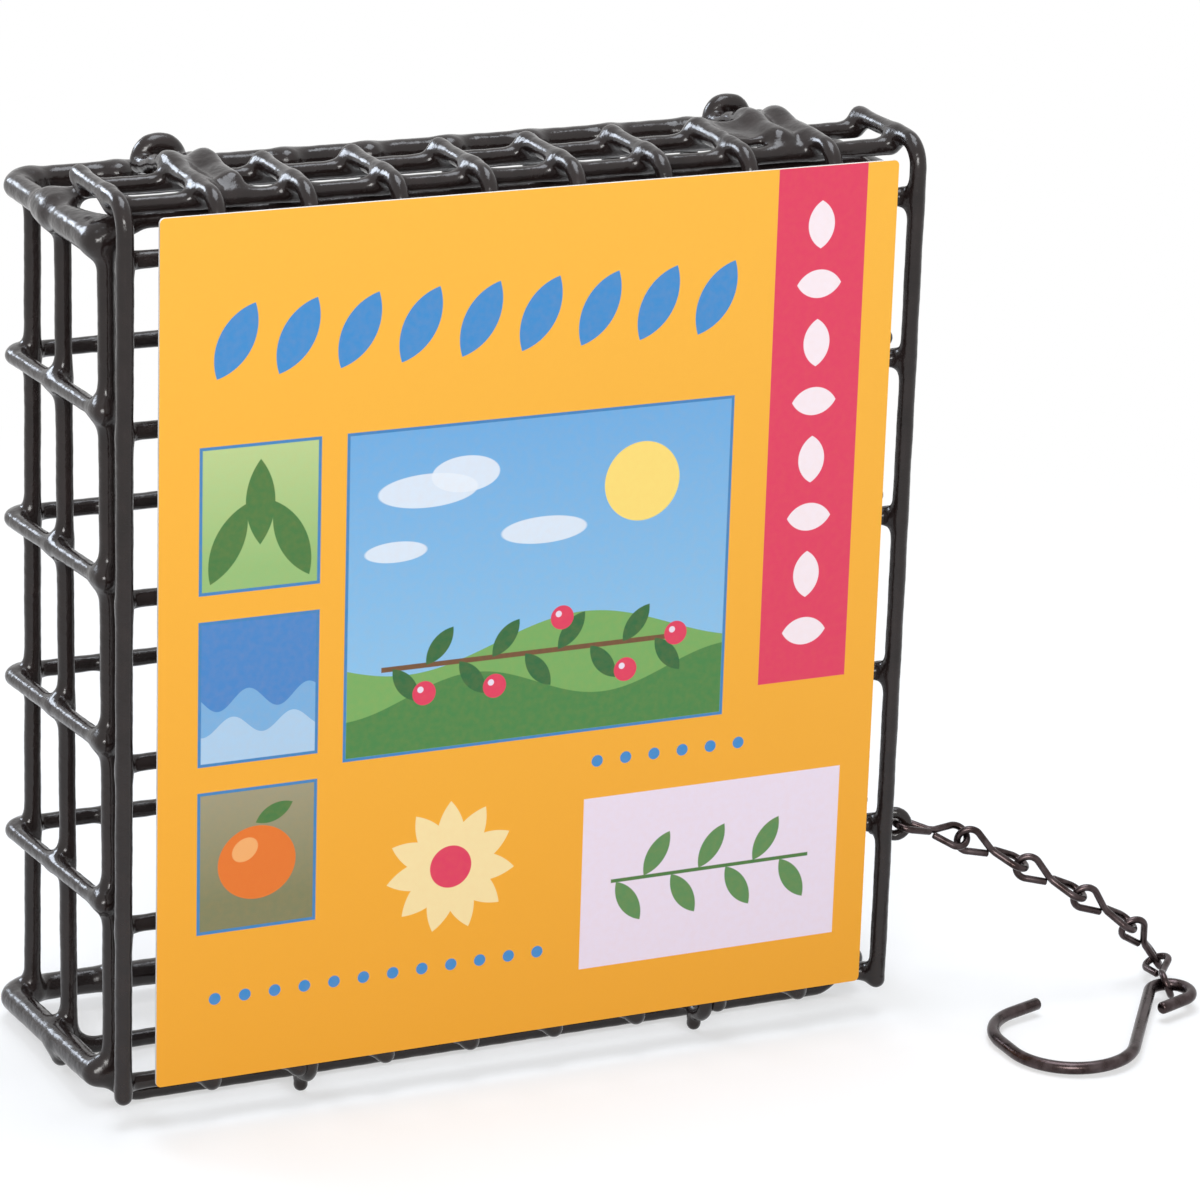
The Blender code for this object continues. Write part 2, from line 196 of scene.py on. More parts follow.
# Bare wires: sides and rounded ends. The lengths at the ends are shares of the radius
TUBE_SIDES = 16
CAP_RINGS = 3
CAP_DEPTH = 0.5
CAP_FACE = 0.5
CAP_STEP = 0.1
CAP_LENGTH = 0.6


def arc(centre, radius, start, end, arc_step=ARC_STEP):
    steps = max(2, math.ceil(abs(end - start) / arc_step))
    angles = [start + (end - start) * i / steps for i in range(steps + 1)]
    return [(centre[0] + radius * math.cos(a), centre[1] + radius * math.sin(a)) for a in angles]


def rounded(points, radius, closed=False, arc_step=ARC_STEP):
    """The same route with every corner replaced by an arc of the given radius."""
    points = [Vector(p) for p in points]
    route = []
    for i, corner in enumerate(points):
        if not closed and i in (0, len(points) - 1):
            route.append(corner)
            continue
        back = (points[i - 1] - corner).normalized()
        ahead = (points[(i + 1) % len(points)] - corner).normalized()
        turn = math.pi - back.angle(ahead)
        first = corner + back * radius * math.tan(turn / 2)
        inward = (ahead - back * back.dot(ahead)).normalized()
        centre = first + inward * radius
        steps = max(2, math.ceil(turn / arc_step))
        for step in range(steps + 1):
            angle = turn * step / steps
            route.append(centre - inward * radius * math.cos(angle) - back * radius * math.sin(angle))
    return route


def column_x(column):
    return (column - (COLUMNS - 1) / 2) * COLUMN_PITCH


def row_z(row):
    return HINGE_Z + row * ROW_PITCH


def side_wire(back, front, bend):
    """One side, the back and the other side. Back and front are (half width, y, z)."""
    (wide, deep, low), (narrow, near, high) = back, front
    corners = [(-narrow, near, high), (-wide, deep, low), (wide, deep, low), (narrow, near, high)]
    return rounded(corners, bend)


def spread(start, end, step):
    """Even numbers from start to end, about a step apart."""
    steps = round((end - start) / step)
    return [start + (end - start) * i / steps for i in range(steps + 1)]


def bump_at(y):
    """Rise of a flap wire where its weld stands up over the front and the rear rail."""
    rails = (FLAP_FRONT_RAIL_Y, FLAP_REAR_RAIL_Y)
    return FLAP_BUMP * sum(math.exp(-((y - rail) / FLAP_BUMP_LENGTH) ** 2) for rail in rails)


def door_front(x, tip):
    """Up the front of the door and round the bend to where the flap starts."""
    corners = [(x, DOOR_Y, tip), (x, DOOR_Y, FLAP_Z), (x, DOOR_Y + FLAP_BEND_REACH, FLAP_Z)]
    return rounded(corners, FLAP_BEND_R)[:-1]


def door_wire_route(x, tip):
    along = spread(FLAP_START_Y, FLAP_END_Y, FLAP_STEP)
    return door_front(x, tip) + [Vector((x, y, FLAP_Z + bump_at(y))) for y in along]


def leg_height(y):
    """Height of the latch legs, which rise over the rear rail and then dip to the tab."""
    heights = ((LATCH_RETURN_Y, 0.0),) + LATCH_PROFILE
    if y <= heights[0][0]:
        return FLAP_Z
    for (near, first), (far, second) in zip(heights, heights[1:]):
        if y <= far:
            t = (y - near) / (far - near)
            return FLAP_Z + first + (second - first) * t * t * (3 - 2 * t)
    return FLAP_Z + heights[-1][1]


def latch_leg(x, start):
    return [Vector((x, y, leg_height(y))) for y in spread(start, LATCH_TAB_Y, FLAP_STEP)]


def latch_route(x, span, tip):
    """A door wire that runs on to a thumb tab behind the middle hoop and comes back."""
    centre = (x + span / 2, FLAP_Z - LATCH_TAB_DROP)
    start, end = (math.pi, 0) if span > 0 else (0, math.pi)
    tab = [Vector((px, LATCH_TAB_Y, pz)) for px, pz in arc(centre, abs(span) / 2, start, end)]
    out, back = latch_leg(x, FLAP_START_Y), latch_leg(x + span, LATCH_RETURN_Y)[::-1]
    return door_front(x, tip) + out + tab[1:-1] + back


def bar(start, end, radius):
    return np.array(start), np.array(end), radius


def rows_between(first, second, radius):
    """Bars that bridge two routes of as many points, to fill the space between them with vinyl."""
    return [bar(a, b, radius) for a, b in zip(first, second)]


def tab_fill(x, span):
    """The vinyl inside a thumb tab, from just under its centre to its top."""
    radius, height = abs(span) / 2, FLAP_Z - LATCH_TAB_DROP
    rows = round(radius / FILL_STEP)
    offsets = [radius * (i - 1) / rows for i in range(rows + 1)]
    halves = [math.sqrt(radius ** 2 - o ** 2) for o in offsets]
    left = [(x + span / 2 - h, LATCH_TAB_Y, height + o) for h, o in zip(halves, offsets)]
    right = [(x + span / 2 + h, LATCH_TAB_Y, height + o) for h, o in zip(halves, offsets)]
    return rows_between(left, right, TAB_FILL_R)


def film(first_x, second_x, span, sag):
    """A film of vinyl that hangs between two legs."""
    along = spread(*span, FILL_STEP)
    first = [(first_x, y, leg_height(y)) for y in along]
    middle = [((first_x + second_x) / 2, y, leg_height(y) - sag) for y in along]
    second = [(second_x, y, leg_height(y)) for y in along]
    return rows_between(first, middle, FILL_R) + rows_between(middle, second, FILL_R)


def hinge_route(x):
    """From the back end forward along the standing rails, then round the hinge axis as an eye."""
    drop = HINGE_WIRE_Z - HINGE_Z
    eye_start = math.atan2(drop, math.sqrt(HINGE_EYE_R ** 2 - drop ** 2))
    eye = arc((DOOR_RAIL_Y, HINGE_Z), HINGE_EYE_R, eye_start, HINGE_EYE_END)
    return [(x, HINGE_WIRE_END_Y, HINGE_WIRE_Z)] + [(x, y, z) for y, z in eye]


def heading(azimuth, slope):
    a, s = math.radians(azimuth), math.radians(slope)
    return Vector((math.cos(a) * math.cos(s), math.sin(a) * math.cos(s), math.sin(s)))


def link_points(first_loop_r, twist):
    """Route of a link about its waist, along X. The second loop is turned about X by the twist."""
    first = [(-LINK_END[0], -LINK_END[1], 0)]
    centre = (-(LINK_HALF - first_loop_r), 0)
    loop = arc(centre, first_loop_r, math.pi + LOOP_TURN, math.pi - LOOP_TURN, FINE_ARC_STEP)
    first += [(x, y, 0) for x, y in loop]
    first.append((-WAIST[0], WAIST[1], 0))
    second = [WAIST] + arc((LINK_HALF - LOOP_R, 0), LOOP_R, LOOP_TURN, -LOOP_TURN, FINE_ARC_STEP)
    second.append((LINK_END[0], -LINK_END[1]))
    turn = Matrix.Rotation(math.radians(twist), 3, "X")
    return [Vector(p) for p in first] + [turn @ Vector((x, y, 0)) for x, y in second]


def link_axes(direction, across):
    """Rotation whose X is the link's direction and whose Y lies in its first loop."""
    across = (across - direction * across.dot(direction)).normalized()
    return Matrix((direction, across, direction.cross(across))).transposed()


def chain_layout():
    """Where each link's ends and first loop lie, from the anchor link down to the hook."""
    direction = heading(ANCHOR_HEADING, 0)
    waist = Vector((HOOP_X, FRONT_HOOP_Y, ANCHOR_Z)) + direction * (LINK_HALF - ANCHOR_LOOP_R)
    layout = [{"direction": direction, "axes": link_axes(direction, UP.cross(direction)),
               "waist": waist, "far": waist + direction * LINK_HALF,
               "radius": ANCHOR_R, "twist": ANCHOR_TWIST}]
    for i, (azimuth, slope) in enumerate(zip(LINK_HEADINGS, LINK_SLOPES)):
        before = layout[-1]
        direction = heading(azimuth, slope)
        # The last link is folded back sharply, so it sits straight in the loop before it
        folded = i == len(LINK_HEADINGS) - 1
        pull = before["direction"] if folded else (before["direction"] + direction).normalized()
        near = before["far"] - pull * (before["radius"] + LINK_R + LINK_GAP)
        across = UP.cross(direction)
        if LINK_ROLLS[i] is not None:
            roll = Matrix.Rotation(math.radians(LINK_ROLLS[i]), 3, direction)
            across = roll @ direction.cross(LOOP_FACING)
        layout.append({"direction": direction, "axes": link_axes(direction, across),
                       "waist": near + direction * LINK_HALF, "far": near + direction * LINK_HALF * 2,
                       "radius": LINK_R, "twist": LINK_TWISTS[i]})
    return layout


def link_route(link, first_loop_r):
    return [link["waist"] + link["axes"] @ p for p in link_points(first_loop_r, link["twist"])]


def hook_route(end):
    """From the mouth round the big bend, up the shank and round the eye in the chain's end."""
    onward = math.radians(LINK_HEADINGS[-1])
    eye = (HOOK_EYE_OFFSET * math.cos(onward), HOOK_EYE_OFFSET * math.sin(onward))
    bend = (eye[0] + HOOK_BEND[0], eye[1] + HOOK_BEND[1])
    lean = math.asin((HOOK_BEND_R + HOOK_EYE_R) / math.hypot(*HOOK_BEND))
    shank = math.atan2(-HOOK_BEND[1], -HOOK_BEND[0]) + lean
    side = bend[0] - HOOK_BEND_R
    mouth = [(bend[0] + HOOK_MOUTH[0], bend[1] + HOOK_MOUTH[1], 0),
             (side, bend[1] + HOOK_CORNER_Y, 0), (side, bend[1], 0)]
    mouth = [(p.x, p.y) for p in rounded(mouth, HOOK_CORNER_R, arc_step=FINE_ARC_STEP)]
    big = arc(bend, HOOK_BEND_R, math.pi, shank + math.pi * 3 / 2, FINE_ARC_STEP)
    small = arc(eye, HOOK_EYE_R, shank + math.pi / 2, HOOK_TAIL_HEADING + math.pi / 2, FINE_ARC_STEP)
    tail = (small[-1][0] + HOOK_TAIL * math.cos(HOOK_TAIL_HEADING),
            small[-1][1] + HOOK_TAIL * math.sin(HOOK_TAIL_HEADING))
    place = Matrix.Translation(end) @ Matrix.Rotation(HOOK_TILT, 4, HOOK_TILT_AXIS)
    return [place @ Vector((x, y, 0)) for x, y in mouth[:-1] + big + small + [tail]]


def trimmed(route, trim):
    """An open route with both ends drawn in."""
    route = [Vector(p) for p in route]
    route[0] = route[0] + (route[1] - route[0]).normalized() * trim
    route[-1] = route[-1] + (route[-2] - route[-1]).normalized() * trim
    return route


def pieces_of(route, radius, closed=False):
    """The straight pieces of a wire as (start, end, radius)."""
    route = [Vector(p) for p in route] if closed else trimmed(route, radius * END_TRIM)
    ends = route[1:] + ([route[0]] if closed else [])
    return [bar(a, b, radius) for a, b in zip(route, ends) if (b - a).length > SHORTEST_PIECE]


def piece_distance(points, piece):
    a, b, radius = piece
    along = b - a
    rel = points - a
    t = np.clip(rel @ along / (along @ along), 0, 1)
    return np.linalg.norm(rel - t[..., None] * along, axis=-1) - radius


def piece_box(piece):
    a, b, radius = piece
    return np.minimum(a, b) - radius - REACH, np.maximum(a, b) + radius + REACH


def smooth_min(a, b, blend):
    """The smaller of two distances, rounded off where they are nearly equal."""
    h = np.clip(1 - np.abs(a - b) / blend, 0, None)
    return np.minimum(a, b) - h * h * blend / 4


def pieces_near(points, groups):
    """For every piece, which of the points lie close to it."""
    near = []
    for _, pieces in groups:
        for piece in pieces:
            low, high = piece_box(piece)
            hits = np.flatnonzero((points[:, 0] > low[0]) & (points[:, 0] < high[0]))
            for axis in (1, 2):
                hits = hits[(points[hits, axis] > low[axis]) & (points[hits, axis] < high[axis])]
            near.append(hits)
    return near


def field_at(points, groups, near):
    """Distance to the coat's surface at any points: a plain union within a wire, a blend between wires."""
    total = np.full(len(points), REACH)
    hits = iter(near)
    for blend, pieces in groups:
        own = np.full(len(points), REACH)
        for piece in pieces:
            close = next(hits)
            own[close] = np.minimum(own[close], piece_distance(points[close], piece))
        close = np.flatnonzero(own < REACH)
        total[close] = smooth_min(total[close], own[close], blend)
    return total


def field_on_grid(groups, low, shape):
    """The same distance at all points of a grid that starts at low."""
    total = np.full(shape, REACH, np.float32)

    def window(a, b):
        first = np.clip(np.floor((a - low) / GRID_STEP).astype(int), 0, shape)
        last = np.clip(np.ceil((b - low) / GRID_STEP).astype(int) + 1, 0, shape)
        return tuple(slice(f, e) for f, e in zip(first, last))

    for blend, pieces in groups:
        boxes = [piece_box(p) for p in pieces]
        whole = window(np.min([b[0] for b in boxes], axis=0), np.max([b[1] for b in boxes], axis=0))
        own = np.full([s.stop - s.start for s in whole], REACH, np.float32)
        for piece, box in zip(pieces, boxes):
            part = window(*box)
            axes = [low[i] + GRID_STEP * np.arange(part[i].start, part[i].stop) for i in range(3)]
            points = np.stack(np.meshgrid(*axes, indexing="ij"), axis=-1)
            inner = tuple(slice(p.start - w.start, p.stop - w.start) for p, w in zip(part, whole))
            own[inner] = np.minimum(own[inner], piece_distance(points, piece))
        total[whole] = np.where(own < REACH, smooth_min(total[whole], own, blend), total[whole])
    return total


def cell_vertices(values, cells, low):
    """One vertex in each cell, amid the places where the surface cuts the cell's edges."""
    at_corner = [values[cells[:, 0] + i, cells[:, 1] + j, cells[:, 2] + k] for i, j, k in CORNERS]
    total = np.zeros((len(cells), 3))
    hits = np.zeros(len(cells))
    for one, first in enumerate(CORNERS):
        for two, second in enumerate(CORNERS):
            step = np.subtract(second, first)
            if step.sum() != 1 or step.min() < 0:
                continue
            a, b = at_corner[one], at_corner[two]
            cross = (a < 0) != (b < 0)
            t = a[cross] / (a[cross] - b[cross])
            total[cross] += np.array(first) + t[:, None] * step
            hits[cross] += 1
    return low + GRID_STEP * (cells + total / hits[:, None])


def edge_quads(inside, index, axis):
    """A quad that faces outward round every grid edge along an axis that the surface cuts."""
    u, v = (axis + 1) % 3, (axis + 2) % 3
    ahead, behind = [slice(None)] * 3, [slice(None)] * 3
    ahead[axis], behind[axis] = slice(1, None), slice(None, -1)
    edges = np.argwhere(inside[tuple(ahead)] != inside[tuple(behind)])
    keep = (edges[:, u] > 0) & (edges[:, u] < index.shape[u])
    keep &= (edges[:, v] > 0) & (edges[:, v] < index.shape[v])
    edges = edges[keep]
    ring = []
    for du, dv in ((-1, -1), (0, -1), (0, 0), (-1, 0)):
        cell = edges.copy()
        cell[:, u] += du
        cell[:, v] += dv
        ring.append(index[cell[:, 0], cell[:, 1], cell[:, 2]])
    quads = np.stack(ring, axis=1)
    outward = inside[edges[:, 0], edges[:, 1], edges[:, 2]]
    quads[~outward] = quads[~outward][:, ::-1]
    return quads


def surface_of(values, low):
    """Vertices and quads of the zero surface of a grid of distances."""
    inside = values < 0
    shape = [n - 1 for n in values.shape]
    count = np.zeros(shape, np.uint8)
    for i, j, k in CORNERS:
        count += inside[i:i + shape[0], j:j + shape[1], k:k + shape[2]]
    active = (count > 0) & (count < len(CORNERS))
    cells = np.argwhere(active)
    index = np.full(shape, -1, np.int64)
    index[active] = np.arange(len(cells))
    quads = [edge_quads(inside, index, axis) for axis in range(3)]
    return cell_vertices(values, cells, low), np.concatenate(quads)


def slopes_at(points, groups, near):
    """Unit outward direction and distance at the points, from four probes."""
    probes = np.array([(1, -1, -1), (-1, -1, 1), (-1, 1, -1), (1, 1, 1)]) * PROBE
    slope = np.zeros_like(points)
    mean = np.zeros(len(points))
    for probe in probes:
        value = field_at(points + probe, groups, near)
        slope += value[:, None] * probe
        mean += value / len(probes)
    return slope / np.linalg.norm(slope, axis=1)[:, None], mean


def lumps(points):
    """Unevenness of the dipped coat, in metres: long and short waves, with their numbers per mm."""
    x, y, z = (points * MM_PER_M).T
    slow = np.sin(0.61 * x + 0.9 * np.sin(0.37 * z + 0.5 * y))
    slow = slow * np.sin(0.53 * z + 0.8 * np.sin(0.41 * x))
    fast = np.sin(1.9 * x + 1.3 * z + 0.7 * np.sin(1.1 * y))
    fast = fast * np.sin(1.7 * y - 1.5 * z + 0.4 * np.sin(0.9 * x))
    return slow * SLOW_LUMP + fast * FAST_LUMP


def add_piece(name, mesh, material, body, nodes):
    """A visible piece that rides on a body and stands in for the named solids."""
    mesh.shade_smooth()
    mesh.materials.append(material)
    obj = bpy.data.objects.new(name, mesh)
    bpy.context.scene.collection.objects.link(obj)
    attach(obj, body)
    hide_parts(*nodes)


def coat(name, groups, body, material, nodes):
    """One closed mesh of the coat over a body's wires."""
    boxes = [piece_box(p) for _, pieces in groups for p in pieces]
    low = np.min([b[0] for b in boxes], axis=0)
    high = np.max([b[1] for b in boxes], axis=0)
    shape = tuple(np.ceil((high - low) / GRID_STEP).astype(int) + 1)
    points, quads = surface_of(field_on_grid(groups, low, shape), low)
    near = pieces_near(points, groups)
    for _ in range(SETTLE_ROUNDS):
        outward, distance = slopes_at(points, groups, near)
        points = points - outward * distance[:, None]
    points = points + outward * lumps(points)[:, None]
    mesh = bpy.data.meshes.new(name)
    mesh.vertices.add(len(points))
    mesh.vertices.foreach_set("co", points.ravel())
    mesh.loops.add(quads.size)
    mesh.loops.foreach_set("vertex_index", quads.ravel())
    mesh.polygons.add(len(quads))
    mesh.polygons.foreach_set("loop_start", np.arange(0, quads.size, 4))
    mesh.update(calc_edges=True)
    mesh.validate()
    add_piece(name, mesh, material, body, nodes)


def basket_groups(anchor):
    """The basket's wires as groups of bars, each group with its blend."""
    groups = []
    for row, ((wide, lift), narrow) in enumerate(zip(SIDE_BACKS, SIDE_FRONTS), start=1):
        back = (wide, BACK_Y + BACK_SHIFT + SEAT, row_z(row) + lift)
        front = (narrow, SIDE_FRONT_Y, row_z(row) + SIDE_RISE)
        groups.append(pieces_of(side_wire(back, front, WIRE_BEND_R), WIRE_R))
    groups.append(pieces_of(side_wire(*BASE_ROD, ROD_BEND_R), ROD_R))
    groups.append(pieces_of(side_wire(*TOP_ROD, ROD_BEND_R), TOP_ROD_R))
    y = BACK_Y + BACK_SHIFT
    for column in range(COLUMNS):
        share = 2 * column / (COLUMNS - 1) - 1
        foot, top = (BACK_HALF_LOW * share, y, BACK_LOW_Z), (BACK_HALF_TOP * share, y, BACK_TOP_Z)
        groups.append(pieces_of([foot, top], WIRE_R))
    for y, lean in zip((FRONT_HOOP_Y, MIDDLE_HOOP_Y), HOOP_LEANS):
        corners = [(-HOOP_X, y, HOOP_LOW_Z), (HOOP_X, y, HOOP_LOW_Z),
                   (HOOP_X, y, HOOP_TOP_Z), (-HOOP_X - lean, y, HOOP_TOP_Z)]
        groups.append(pieces_of(rounded(corners, HOOP_BEND_R, closed=True), WIRE_R, closed=True))
    for x in HINGE_XS:
        drips = [bar((x, *start), (x, *end), radius) for start, end, radius in HINGE_DRIPS]
        groups.append(pieces_of(hinge_route(x), HINGE_WIRE_R) + drips)
    groups.append(pieces_of(link_route(anchor, ANCHOR_LOOP_R), ANCHOR_R))
    half_width, _, height = TOP_ROD[1]
    rod = [(-half_width, y, height) for y in spread(0, CORNER_WEB_END_Y, FILL_STEP)]
    groups.append(rows_between(rod, [CORNER_WEB_APEX] * len(rod), CORNER_WEB_R))
    groups += [[bar(*CROSSING_BLOB)], [bar(*BASE_DRIP)]]
    return [(BLEND, pieces) for pieces in groups]


def door_groups():
    """The door's wires and the vinyl between them as groups of bars, each group with its blend."""
    groups = []
    for column in range(COLUMNS):
        x = column_x(column)
        tip = DOOR_TIP_Z if column == 0 else INNER_TIP_Z
        if column in LATCH_COLUMNS:
            span = LATCH_SPANS[LATCH_COLUMNS.index(column)]
            groups.append((BLEND, pieces_of(latch_route(x, span, tip), WIRE_R)))
            web = film(x, x + span, LATCH_FILM_SPAN, LATCH_FILM_SAG)
            groups.append((FILL_BLEND, tab_fill(x, span) + web))
        else:
            groups.append((BLEND, pieces_of(door_wire_route(x, tip), WIRE_R)))
    # A film between the right latch's inner leg and the next wire
    neighbour, latch = column_x(LATCH_COLUMNS[1] - 1), column_x(LATCH_COLUMNS[1]) + LATCH_SPANS[1]
    groups.append((FILL_BLEND, film(neighbour, latch, SIDE_FILM_SPAN, SIDE_FILM_SAG)))
    rails = [(DOOR_RAIL_Y, row_z(row)) for row in range(DOOR_ROWS)]
    rails += [(FLAP_FRONT_RAIL_Y, FLAP_RAIL_Z), (FLAP_REAR_RAIL_Y, FLAP_RAIL_Z)]
    for y, z in rails:
        groups.append((BLEND, pieces_of([(-HALF_WIDTH, y, z), (HALF_WIDTH, y, z)], WIRE_R)))
    return groups


def tube_rings(route, radius):
    """Cross-sections along a bare wire with softly rounded ends, as (point, tangent, side, radius)."""
    route = [Vector(p) for p in route]
    last = len(route) - 1
    tangents = [(route[min(i + 1, last)] - route[max(i - 1, 0)]).normalized() for i in range(last + 1)]
    side = tangents[0].orthogonal().normalized()
    sections = []
    for point, tangent in zip(route, tangents):
        side = (side - tangent * side.dot(tangent)).normalized()
        sections.append((point, tangent, side, radius))
    angles = [math.pi / 2 * step / (CAP_RINGS + 1) for step in range(1, CAP_RINGS + 1)]
    cap = [(radius * CAP_DEPTH * (1 - math.cos(a)), radius * (CAP_FACE + (1 - CAP_FACE) * math.sin(a)))
           for a in angles]
    point, tangent, side, _ = sections[0]
    rings = [(point + tangent * drawn, tangent, side, r) for drawn, r in cap]
    rings.append((rings[-1][0] + tangent * radius * CAP_STEP, tangent, side, radius))
    rings += sections[1:-1]
    point, tangent, side, _ = sections[-1]
    rings.append((point - tangent * radius * CAP_LENGTH, tangent, side, radius))
    return rings + [(point - tangent * drawn, tangent, side, r) for drawn, r in reversed(cap)]


def tube(name, route, radius, body, material, nodes):
    """A round bare wire along a route."""
    rings = tube_rings(route, radius)
    verts, faces = [], []
    for point, tangent, side, r in rings:
        over = tangent.cross(side)
        for s in range(TUBE_SIDES):
            a = 2 * math.pi * s / TUBE_SIDES
            verts.append(point + (side * math.cos(a) + over * math.sin(a)) * r)
    for ring in range(len(rings) - 1):
        for s in range(TUBE_SIDES):
            a, b = ring * TUBE_SIDES + s, ring * TUBE_SIDES + (s + 1) % TUBE_SIDES
            faces.append((a, b, b + TUBE_SIDES, a + TUBE_SIDES))
    faces.append(tuple(reversed(range(TUBE_SIDES))))
    faces.append(tuple(range(len(verts) - TUBE_SIDES, len(verts))))
    mesh = bpy.data.meshes.new(name)
    mesh.from_pydata(verts, [], faces)
    add_piece(name, mesh, material, body, nodes)


def new_material(name, colour, roughness, metallic=0.0):
    material = bpy.data.materials.new(name)
    material.use_nodes = True
    shader = material.node_tree.nodes["Principled BSDF"]
    shader.inputs["Base Color"].default_value = (*colour, 1)
    shader.inputs["Roughness"].default_value = roughness
    shader.inputs["Metallic"].default_value = metallic
    return material, material.node_tree, shader


def noise(tree, scale, detail, coordinates):
    node = tree.nodes.new("ShaderNodeTexNoise")
    node.inputs["Scale"].default_value = scale
    node.inputs["Detail"].default_value = detail
    tree.links.new(coordinates, node.inputs["Vector"])
    return node.outputs["Fac"]


def ramp(tree, value, stops):
    """A colour that runs between two stops."""
    node = tree.nodes.new("ShaderNodeValToRGB")
    for element, (position, colour) in zip(node.color_ramp.elements, stops):
        element.position = position
        element.color = (*colour, 1)
    tree.links.new(value, node.inputs["Fac"])
    return node.outputs["Color"]


def to_range(tree, value, low, high, out_low, out_high):
    node = tree.nodes.new("ShaderNodeMapRange")
    for name, number in (("From Min", low), ("From Max", high), ("To Min", out_low), ("To Max", out_high)):
        node.inputs[name].default_value = number
    tree.links.new(value, node.inputs["Value"])
    return node.outputs["Result"]


def math_node(tree, operation, *values):
    """A calculation on sockets, plain numbers or both."""
    node = tree.nodes.new("ShaderNodeMath")
    node.operation = operation
    for value, socket in zip(values, node.inputs):
        if isinstance(value, bpy.types.NodeSocket):
            tree.links.new(value, socket)
        else:
            socket.default_value = value
    return node.outputs["Value"]


def bump(tree, height, distance, strength, normal=None):
    node = tree.nodes.new("ShaderNodeBump")
    node.inputs["Distance"].default_value = distance
    node.inputs["Strength"].default_value = strength
    tree.links.new(height, node.inputs["Height"])
    if normal is not None:
        tree.links.new(normal, node.inputs["Normal"])
    return node.outputs["Normal"]


# Finishes: the noise values between which a finish changes, colours, roughness, noise scales per
# metre, and heights of the relief in metres
CLOUD_RANGE = (0.3, 0.7)
VINYL_COLOURS = ((0.0105, 0.0066, 0.006), (0.0175, 0.0113, 0.0105))
VINYL_ROUGHNESS = (0.15, 0.26)
VINYL_CLOUD_SCALE = 260
PEEL_SCALE = 1300
PEEL_HEIGHT = 0.00009
DIMPLE_SCALE = 480
DIMPLE_HEIGHT = 0.00016
BRONZE_COLOURS = ((0.035, 0.024, 0.023), (0.09, 0.07, 0.072))
BRONZE_ROUGHNESS = (0.22, 0.38)
BRONZE_CLOUD_SCALE = 500
GRAIN_SCALE = 3000
GRAIN_HEIGHT = 0.00002


def clouded(tree, shader, cloud, colours, roughness):
    """Colour and roughness that drift with a noise."""
    colour = ramp(tree, cloud, list(zip(CLOUD_RANGE, colours)))
    tree.links.new(colour, shader.inputs["Base Color"])
    tree.links.new(to_range(tree, cloud, *CLOUD_RANGE, *roughness), shader.inputs["Roughness"])


def vinyl_material():
    """Dipped black vinyl with a faint orange peel over shallow dimples."""
    material, tree, shader = new_material("black_vinyl_coat", (0.012, 0.009, 0.008), 0.15)
    place = tree.nodes.new("ShaderNodeTexCoord").outputs["Object"]
    cloud = noise(tree, VINYL_CLOUD_SCALE, 3, place)
    clouded(tree, shader, cloud, VINYL_COLOURS, VINYL_ROUGHNESS)
    shader.inputs["Specular IOR Level"].default_value = 0.4
    peel = bump(tree, noise(tree, PEEL_SCALE, 2, place), PEEL_HEIGHT, 0.6)
    dimples = noise(tree, DIMPLE_SCALE, 1, place)
    tree.links.new(bump(tree, dimples, DIMPLE_HEIGHT, 0.5, peel), shader.inputs["Normal"])
    return material


def bronze_material():
    """Dark plated wire with a fine grain."""
    material, tree, shader = new_material("dark_bronze_wire", (0.07, 0.05, 0.045), 0.3, 1.0)
    place = tree.nodes.new("ShaderNodeTexCoord").outputs["Object"]
    cloud = noise(tree, BRONZE_CLOUD_SCALE, 3, place)
    clouded(tree, shader, cloud, BRONZE_COLOURS, BRONZE_ROUGHNESS)
    grain = noise(tree, GRAIN_SCALE, 1, place)
    tree.links.new(bump(tree, grain, GRAIN_HEIGHT, 0.4), shader.inputs["Normal"])
    return material


def srgb(red, green, blue):
    """A colour of the screen, from 0 to 255, as the linear values that a shader takes."""
    return tuple(c / 12.92 if c <= 0.04045 else ((c + 0.055) / 1.055) ** 2.4
                 for c in (red / 255, green / 255, blue / 255))


# The card's print, in millimetres from the middle of the card and from its lower edge
CARD_LOW = 6.9
CARD_HEIGHT = 133.4
PRINT_TOP = 133
PRINT_EDGE = 0.06
PANEL_FRAME = 0.5
# Boxes as (left, low, right, high)
PICTURE = (-30, 48, 33, 99)
LEAF_PANEL = (-53, 76.5, -34, 99)
WATER_PANEL = (-53, 50, -34, 72.5)
FRUIT_PANEL = (-53, 23.5, -34, 46)
SEED_BAND = (39, 52, 54, CARD_HEIGHT)
PLATE = (10, 9, 54, 37)
TWIG = (-24, 61.4, 26, 62.2)
SPRIG = (15, 22.6, 49, 23.2)
# Discs as (across, up, half width, half height)
SUN = (18, 87, 6.2, 6.2)
CLOUDS = ((-17, 89, 8, 2.6), (-11, 91, 5.5, 2.8), (2, 81, 7, 2.1), (-22, 80, 5, 1.6))
FRUIT = (-43.5, 34, 6.2, 5.8)
FRUIT_SHINE = (-45.4, 36.2, 2.2, 1.7, 35)
BERRIES = ((-17, 57.4), (-5.5, 57.2), (5.4, 66.8), (16.2, 57.3), (24.5, 62.2))
BERRY_R = 1.9
SHINE_R = 0.5
SHINE_SHIFT = 0.6
DOT_R = 0.95
DOT_PITCH = 4.8
# Rows of dots as (first across, up, number)
DOT_ROWS = ((-50, 13, 12), (12, 43, 6))
